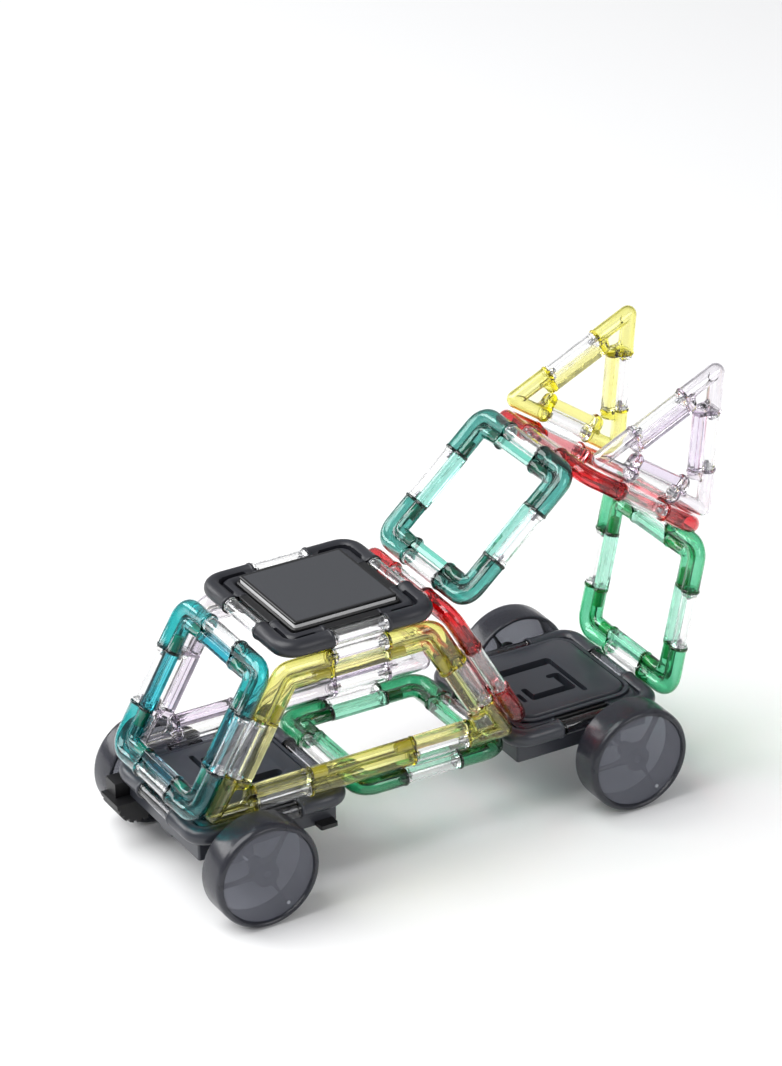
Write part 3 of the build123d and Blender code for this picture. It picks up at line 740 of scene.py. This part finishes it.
def spoke():
    """One rib from the hub to the rim, flared at both ends, along +y of the wheel's section."""
    loops = []
    for radius, half, inner in SPOKE:
        wide = half * SPOKE_SPREAD
        outline = ((inner, -half), (SPOKE_OUTER, -wide), (SPOKE_OUTER, wide), (inner, half))
        loops.append([Vector((x, radius, z)) for x, z in outline])
    return solid(loops)


def build_wheel(name, facing):
    """A translucent wheel whose hub and ribs show through its closed face.

    facing is the sign of the y that its closed face looks towards.
    """
    low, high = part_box(name)
    body = frame["nodes"][name]["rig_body"]
    centre = (low + high) / 2
    inner_y = low.y if facing > 0 else high.y
    placement = axes(Vector((centre.x, inner_y, centre.z)), (0, facing, 0), (0, 0, 1))
    tread = placed(lathe(TREAD_PROFILE, WHEEL_STEPS), placement)
    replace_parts(piece(name + "_tread", tread, SMOKY_TREAD, body, WHEEL_ANGLE), name)
    face = placed(lathe(FACE_PROFILE, WHEEL_STEPS), placement)
    piece(name + "_face", face, SMOKY, body, WHEEL_ANGLE)
    parts = [(lathe(HUB_PROFILE, HUB_STEPS), AS_BUILT)]
    rib = spoke()
    for angle in SPOKE_ANGLES:
        parts.append((rib, Matrix.Rotation(math.radians(angle), 4, "X")))
    piece(name + "_hub", gather(parts, placement), SMOKY_DEEP, body, WHEEL_ANGLE)
    shift = Matrix.Rotation(math.radians(GATE_MARK_ANGLE), 4, "X") @ Matrix.Translation((0, GATE_MARK_AT, 0))
    mark = gather([(lathe(GATE_MARK_PROFILE, SMALL_STEPS), shift)], placement)
    piece(name + "_gate_mark", mark, SMOKY_PALE, body, GATE_MARK_SHARP)


# ---------------------------------------------------------------- materials


def new_material(name):
    """A material with an empty node tree."""
    material = bpy.data.materials.new(name)
    material.use_nodes = True
    tree = material.node_tree
    tree.nodes.clear()
    return material, tree


def add(tree, kind, **settings):
    """A new node, with its sockets or properties set."""
    node = tree.nodes.new(kind)
    for key, value in settings.items():
        if key in node.inputs:
            node.inputs[key].default_value = value
        else:
            setattr(node, key, value)
    return node


def noise(tree, scale, detail):
    """The factor of a noise that lies fixed in the piece."""
    place = add(tree, "ShaderNodeTexCoord")
    node = add(tree, "ShaderNodeTexNoise", Scale=scale, Detail=detail)
    tree.links.new(place.outputs["Object"], node.inputs["Vector"])
    return node.outputs["Fac"]


def between(tree, factor, first, second):
    """A colour that runs from first to second with a factor."""
    node = add(tree, "ShaderNodeMix", data_type="RGBA")
    node.inputs["A"].default_value = (*first, 1)
    node.inputs["B"].default_value = (*second, 1)
    tree.links.new(factor, node.inputs["Factor"])
    return node.outputs["Result"]


def mapped(tree, source, low, high):
    """A factor from 0 to 1 spread from low to high."""
    node = add(tree, "ShaderNodeMapRange")
    node.inputs["To Min"].default_value = low
    node.inputs["To Max"].default_value = high
    tree.links.new(source, node.inputs["Value"])
    return node.outputs["Result"]


def bump(tree, source, strength, distance):
    """A normal that a height moves."""
    node = add(tree, "ShaderNodeBump", Strength=strength, Distance=distance)
    tree.links.new(source, node.inputs["Height"])
    return node.outputs["Normal"]


def set_surface(tree, output):
    """The material's output node, with its surface linked."""
    node = add(tree, "ShaderNodeOutputMaterial")
    tree.links.new(output, node.inputs["Surface"])
    return node


def tinted_plastic(name, seen, depth, shadow, ior, roughness=0.01):
    """Clear moulded plastic: depth millimetres of it let the colour seen through."""
    material, tree = new_material(name)
    shader = add(tree, "ShaderNodeBsdfPrincipled", IOR=ior)
    shader.inputs["Transmission Weight"].default_value = 1.0
    shader.inputs["Coat Weight"].default_value = 1.0
    shader.inputs["Coat Roughness"].default_value = 0.01
    flow = noise(tree, 60.0, 2.0)
    skin = between(tree, flow, [0.95 + 0.05 * c for c in seen], (1, 1, 1))
    tree.links.new(skin, shader.inputs["Base Color"])
    ripple = noise(tree, 260.0, 2.0)
    polish = mapped(tree, ripple, roughness * 0.5, roughness * 1.5)
    tree.links.new(polish, shader.inputs["Roughness"])
    tree.links.new(bump(tree, flow, 0.02, 0.0001), shader.inputs["Normal"])
    fading = [-math.log(c) / (depth * MM) for c in seen]
    strongest = max(fading)
    inside = add(tree, "ShaderNodeVolumeAbsorption", Density=strongest)
    inside.inputs["Color"].default_value = (*[1 - f / strongest for f in fading], 1)
    through = add(tree, "ShaderNodeBsdfTransparent", Color=(*shadow, 1))
    path = add(tree, "ShaderNodeLightPath")
    mix = add(tree, "ShaderNodeMixShader")
    tree.links.new(path.outputs["Is Shadow Ray"], mix.inputs["Fac"])
    tree.links.new(shader.outputs["BSDF"], mix.inputs[1])
    tree.links.new(through.outputs["BSDF"], mix.inputs[2])
    out = set_surface(tree, mix.outputs["Shader"])
    tree.links.new(inside.outputs["Volume"], out.inputs["Volume"])
    return material


def moulded_plastic(name, colour, rough, grain=900.0, grain_depth=0.00002):
    """Opaque satin plastic with a fine moulded grain and slight colour drift."""
    material, tree = new_material(name)
    shader = add(tree, "ShaderNodeBsdfPrincipled", IOR=1.5)
    drift = noise(tree, 35.0, 4.0)
    hue = between(tree, drift, [c * 0.86 for c in colour], [min(1.0, c * 1.14) for c in colour])
    tree.links.new(hue, shader.inputs["Base Color"])
    fine = noise(tree, grain, 2.0)
    tree.links.new(mapped(tree, drift, *rough), shader.inputs["Roughness"])
    tree.links.new(bump(tree, fine, 0.25, grain_depth), shader.inputs["Normal"])
    set_surface(tree, shader.outputs["BSDF"])
    return material


def smoky_plastic(name, colour, opacity, through):
    """Grey translucent plastic: part of what is behind it shows."""
    material, tree = new_material(name)
    shader = add(tree, "ShaderNodeBsdfPrincipled", IOR=1.5)
    drift = noise(tree, 40.0, 3.0)
    hue = between(tree, drift, [c * 0.9 for c in colour], [c * 1.1 for c in colour])
    tree.links.new(hue, shader.inputs["Base Color"])
    tree.links.new(mapped(tree, drift, 0.16, 0.28), shader.inputs["Roughness"])
    fine = noise(tree, 500.0, 2.0)
    tree.links.new(bump(tree, fine, 0.1, 0.00002), shader.inputs["Normal"])
    clear = add(tree, "ShaderNodeBsdfTransparent", Color=(*through, 1))
    mix = add(tree, "ShaderNodeMixShader", Fac=opacity)
    tree.links.new(clear.outputs["BSDF"], mix.inputs[1])
    tree.links.new(shader.outputs["BSDF"], mix.inputs[2])
    set_surface(tree, mix.outputs["Shader"])
    return material


def metal(name, colour, rough=(0.18, 0.32)):
    """Plated or ground metal with fine streaks."""
    material, tree = new_material(name)
    shader = add(tree, "ShaderNodeBsdfPrincipled")
    shader.inputs["Metallic"].default_value = 1.0
    shader.inputs["Base Color"].default_value = (*colour, 1)
    place = add(tree, "ShaderNodeTexCoord")
    stretch = add(tree, "ShaderNodeMapping", Scale=(1, 40, 1))
    streaks = add(tree, "ShaderNodeTexNoise", Scale=300.0, Detail=4.0)
    tree.links.new(place.outputs["Object"], stretch.inputs["Vector"])
    tree.links.new(stretch.outputs["Vector"], streaks.inputs["Vector"])
    tree.links.new(mapped(tree, streaks.outputs["Fac"], *rough), shader.inputs["Roughness"])
    tree.links.new(bump(tree, streaks.outputs["Fac"], 0.15, 0.00002), shader.inputs["Normal"])
    set_surface(tree, shader.outputs["BSDF"])
    return material


def inside_border(tree, place):
    """1 on the solar cell inside its border, 0 on the border."""
    low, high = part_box("solar_cell")
    split = add(tree, "ShaderNodeSeparateXYZ")
    tree.links.new(place.outputs["Object"], split.inputs["Vector"])
    both = add(tree, "ShaderNodeMath", operation="MULTIPLY")
    for socket, axis, near, far in ((0, "X", low.x, high.x), (1, "Y", low.y, high.y)):
        from_middle = add(tree, "ShaderNodeMath", operation="SUBTRACT")
        from_middle.inputs[1].default_value = (near + far) / 2
        away = add(tree, "ShaderNodeMath", operation="ABSOLUTE")
        mark = add(tree, "ShaderNodeMath", operation="LESS_THAN")
        mark.inputs[1].default_value = (far - near) / 2 - CELL_BORDER * MM
        tree.links.new(split.outputs[axis], from_middle.inputs[0])
        tree.links.new(from_middle.outputs["Value"], away.inputs[0])
        tree.links.new(away.outputs["Value"], mark.inputs[0])
        tree.links.new(mark.outputs["Value"], both.inputs[socket])
    return both.outputs["Value"]


def solar_cell_glass():
    """Dark cell under glass: fine grid lines inside a black border."""
    material, tree = new_material("solar_cell_glass")
    shader = add(tree, "ShaderNodeBsdfPrincipled", IOR=1.5)
    shader.inputs["Coat Weight"].default_value = 0.15
    shader.inputs["Coat Roughness"].default_value = 0.1
    place = add(tree, "ShaderNodeTexCoord")
    lines = add(tree, "ShaderNodeTexWave", Scale=CELL_LINES, Distortion=0.4, Detail=1.0)
    lines.bands_direction = "Y"
    tree.links.new(place.outputs["Object"], lines.inputs["Vector"])
    grid = between(tree, lines.outputs["Fac"], (0.022, 0.024, 0.028), (0.06, 0.062, 0.07))
    face = add(tree, "ShaderNodeMix", data_type="RGBA")
    face.inputs["A"].default_value = (0.004, 0.004, 0.005, 1)
    tree.links.new(inside_border(tree, place), face.inputs["Factor"])
    tree.links.new(grid, face.inputs["B"])
    tree.links.new(face.outputs["Result"], shader.inputs["Base Color"])
    tree.links.new(mapped(tree, lines.outputs["Fac"], 0.22, 0.4), shader.inputs["Roughness"])
    tree.links.new(bump(tree, lines.outputs["Fac"], 0.2, 0.00002), shader.inputs["Normal"])
    set_surface(tree, shader.outputs["BSDF"])
    return material


def tint(name, slot, shell, rail, tenon, shadow, ior=1.25):
    """Plastics of one frame: its elbows, its rails and the rails' ends inside the elbows, whose colour is a
    much deeper copy of the rail's, painted shade for the inside of the elbows' sockets.
    """
    if min(tenon) > CLEAR_ENDS:
        ends = tinted_plastic(name + "_painted_shade_rail_end", tenon, 2 * TENON_R, shadow, ior, 0.03)
    else:
        ends = moulded_plastic(name + "_painted_shade_rail_end", tenon, (0.12, 0.2), 300.0, 0.00001)
    return {
        "slot": slot,
        "shell": tinted_plastic(name + "_shell", shell, 2 * WALL, shadow, ior),
        "rail": tinted_plastic(name + "_rail", rail, RAIL_T, shadow, ior),
        "tenon": ends,
    }


# The tenon colours are the rails' own plastic painted far deeper: painted shade where the rail ends sit
# inside the elbows.
GREEN = tint(
    "green", "green_tint",
    shell=(0.17, 0.65, 0.39), rail=(0.38, 0.76, 0.60), tenon=(0.03, 0.34, 0.11), shadow=(0.8, 0.96, 0.88),
)
DEEP_GREEN = tint(
    "deep_green", "green_tint",
    shell=(0.05, 0.40, 0.20), rail=(0.26, 0.71, 0.49), tenon=(0.01, 0.16, 0.06), shadow=(0.75, 0.95, 0.85),
)
TEAL = tint(
    "teal", "teal_tint",
    shell=(0.09, 0.40, 0.35), rail=(0.27, 0.66, 0.57), tenon=(0.01, 0.15, 0.09), shadow=(0.82, 0.95, 0.95),
)
DEEP_TEAL = tint(
    "deep_teal", "teal_tint",
    shell=(0.03, 0.50, 0.51), rail=(0.04, 0.48, 0.57), tenon=(0.0, 0.24, 0.14), shadow=(0.7, 0.92, 0.94),
)
RED = tint(
    "red", "red_tint",
    shell=(0.86, 0.08, 0.10), rail=(0.88, 0.30, 0.33), tenon=(0.5, 0.012, 0.02), shadow=(0.98, 0.7, 0.7),
)
YELLOW = tint(
    "yellow", "yellow_tint",
    shell=(0.95, 0.92, 0.36), rail=(0.93, 0.89, 0.38), tenon=(0.55, 0.5, 0.08), shadow=(0.98, 0.97, 0.8),
)
OLIVE = tint(
    "olive", "yellow_tint",
    shell=(0.87, 0.84, 0.30), rail=(0.85, 0.82, 0.38), tenon=(0.4, 0.36, 0.07), shadow=(0.96, 0.95, 0.78),
)
CLEAR = tint(
    "clear", "clear_tint",
    shell=(0.95, 0.92, 0.957), rail=(0.82, 0.75, 0.86), tenon=(0.7, 0.64, 0.74), shadow=(0.97, 0.96, 0.97),
    ior=1.5,
)
BARREL_CLEAR = tinted_plastic(
    "clear_barrel_plastic", (0.985, 0.985, 0.985), BARREL_WALLS, (0.98, 0.98, 0.98), 1.3
)
BARREL_SMOKY = tinted_plastic(
    "smoky_barrel_plastic", (0.2, 0.21, 0.24), BARREL_WALLS, (0.5, 0.5, 0.52), 1.3, 0.03
)
PIN_METAL = metal("plated_magnet", (0.3, 0.3, 0.32), (0.2, 0.35))
SMOKY = smoky_plastic("smoky_plastic", (0.145, 0.15, 0.18), 0.54, (0.74, 0.75, 0.8))
SMOKY_TREAD = smoky_plastic("smoky_tread_plastic", (0.028, 0.029, 0.038), 0.8, (0.6, 0.61, 0.66))
SMOKY_DEEP = moulded_plastic("smoky_plastic_deep", (0.016, 0.017, 0.022), (0.3, 0.4))
SMOKY_PALE = moulded_plastic("smoky_plastic_pale", (0.32, 0.33, 0.36), (0.15, 0.25))
CHARCOAL = moulded_plastic("charcoal_plastic", (0.033, 0.036, 0.046), (0.24, 0.38))
SOLAR_CHARCOAL = moulded_plastic("solar_rim_plastic", (0.017, 0.018, 0.024), (0.34, 0.46))
BLACK = moulded_plastic("black_plastic", (0.005, 0.005, 0.006), (0.35, 0.5))
CELL = solar_cell_glass()
BRIGHT = moulded_plastic("bright_edge_plastic", (0.86, 0.86, 0.86), (0.2, 0.3))
STEEL = metal("ground_steel", (0.58, 0.58, 0.6))
GEAR_WHITE = moulded_plastic("gear_plastic", (0.75, 0.74, 0.7), (0.35, 0.5))

CAD_MATERIALS = {
    "smoky_barrel": BARREL_SMOKY,
    "smoky_wheel": SMOKY_TREAD,
    "charcoal": CHARCOAL,
    "solar_charcoal": SOLAR_CHARCOAL,
    "black": BLACK,
    "cell": CELL,
    "bright_edge": BRIGHT,
    "magnet": PIN_METAL,
    "steel": STEEL,
    "motor_can": STEEL,
    "gear_white": GEAR_WHITE,
    "clear_barrel": BARREL_CLEAR,
}


def dress_cad_nodes():
    """Gives each CAD node the material of its slot, where there is one here."""
    for part in frame["record"]["subparts"]:
        node = frame["nodes"][part["node"]]
        if part["material_slot"] in CAD_MATERIALS:
            node.data.materials.clear()
            node.data.materials.append(CAD_MATERIALS[part["material_slot"]])


# ---------------------------------------------------------------- the car


FRAMES = {
    "green_floor": ("square", flat("green_floor"), DEEP_GREEN),
    "teal_windscreen": ("square", leaning("teal_windscreen", 60), DEEP_TEAL),
    "red_cab_back": ("square", leaning("red_cab_back", 120), RED),
    "yellow_cab_side": ("trapezoid", upright("yellow_cab_side"), OLIVE),
    "clear_cab_side": ("trapezoid", upright("clear_cab_side"), CLEAR),
    "teal_boom": ("square", leaning("teal_boom", 42), TEAL),
    "red_deck": ("square", leaning("red_deck", -35), RED),
    "green_tail": ("square", leaning("green_tail", 78), GREEN),
    "yellow_fin": ("triangle", fin("yellow_fin", -35), YELLOW),
    "clear_fin": ("triangle", fin("clear_fin", -35), CLEAR),
}

dress_cad_nodes()
for name, (kind, placement, plastics) in FRAMES.items():
    build_frame(name, kind, placement, plastics)
build_base("front", 180)
build_base("rear", 0)
build_solar_panel()
for wheel in ("front_far_wheel", "rear_far_wheel"):
    build_wheel(wheel, 1)
for wheel in ("front_near_wheel", "rear_near_wheel"):
    build_wheel(wheel, -1)


# ---------------------------------------------------------------- stage, lights, camera


def floor_paper():
    """Pale matt paper with a faint drift."""
    material, tree = new_material("floor_paper")
    shader = add(tree, "ShaderNodeBsdfPrincipled", Roughness=0.8)
    pale = between(tree, noise(tree, 4.0, 2.0), (0.9, 0.9, 0.9), (0.91, 0.91, 0.91))
    tree.links.new(pale, shader.inputs["Base Color"])
    set_surface(tree, shader.outputs["BSDF"])
    return material


def make_floor():
    """A wide floor just under the wheels."""
    bpy.ops.mesh.primitive_plane_add(size=8, location=(0, 0, -0.0002))
    floor = bpy.context.object
    floor.name = "floor"
    floor.data.materials.append(floor_paper())


def softbox(name, place, target, size, power):
    """A rectangular area light at a place, turned to a target."""
    data = bpy.data.lights.new(name, "AREA")
    data.shape = "RECTANGLE"
    data.size, data.size_y = size
    data.energy = power
    lamp = bpy.data.objects.new(name, data)
    lamp.location = place
    lamp.rotation_mode = "QUATERNION"
    lamp.rotation_quaternion = (Vector(target) - Vector(place)).to_track_quat("-Z", "Y")
    bpy.context.scene.collection.objects.link(lamp)


def make_camera():
    """The camera, at its azimuth, elevation, roll and distance from the point that it aims at."""
    azimuth, elevation, roll = (math.radians(v) for v in (VIEW_AZIMUTH, VIEW_ELEVATION, VIEW_ROLL))
    level = math.cos(elevation)
    back = Vector((math.sin(azimuth) * level, -math.cos(azimuth) * level, math.sin(elevation)))
    right = (-back).cross(Vector((0, 0, 1))).normalized()
    up = right.cross(-back)
    turned_right = right * math.cos(roll) + up * math.sin(roll)
    turned_up = up * math.cos(roll) - right * math.sin(roll)
    data = bpy.data.cameras.new("camera")
    data.sensor_width = SENSOR
    data.lens = FOCAL_LENGTH
    data.clip_start, data.clip_end = 0.05, 30
    camera = bpy.data.objects.new("camera", data)
    turn = Matrix((turned_right, turned_up, back)).transposed().to_4x4()
    camera.matrix_world = Matrix.Translation(VIEW_AIM + back * VIEW_DISTANCE) @ turn
    bpy.context.scene.collection.objects.link(camera)
    bpy.context.scene.camera = camera


make_floor()
middle = (0, 0, 0.08)
softbox("key_softbox", (-0.9, 0.3, 1.5), middle, (1.5, 1.5), 34)
softbox("back_softbox", (-1.2, 1.7, 0.9), middle, (1.2, 0.7), 14)
softbox("front_softbox", (0.6, -1.6, 1.1), middle, (0.9, 0.9), 8)
world = bpy.data.worlds.new("studio")
world.use_nodes = True
world.node_tree.nodes["Background"].inputs["Color"].default_value = (0.4, 0.405, 0.415, 1)
bpy.context.scene.world = world
bpy.context.scene.view_settings.view_transform = "Standard"
make_camera()
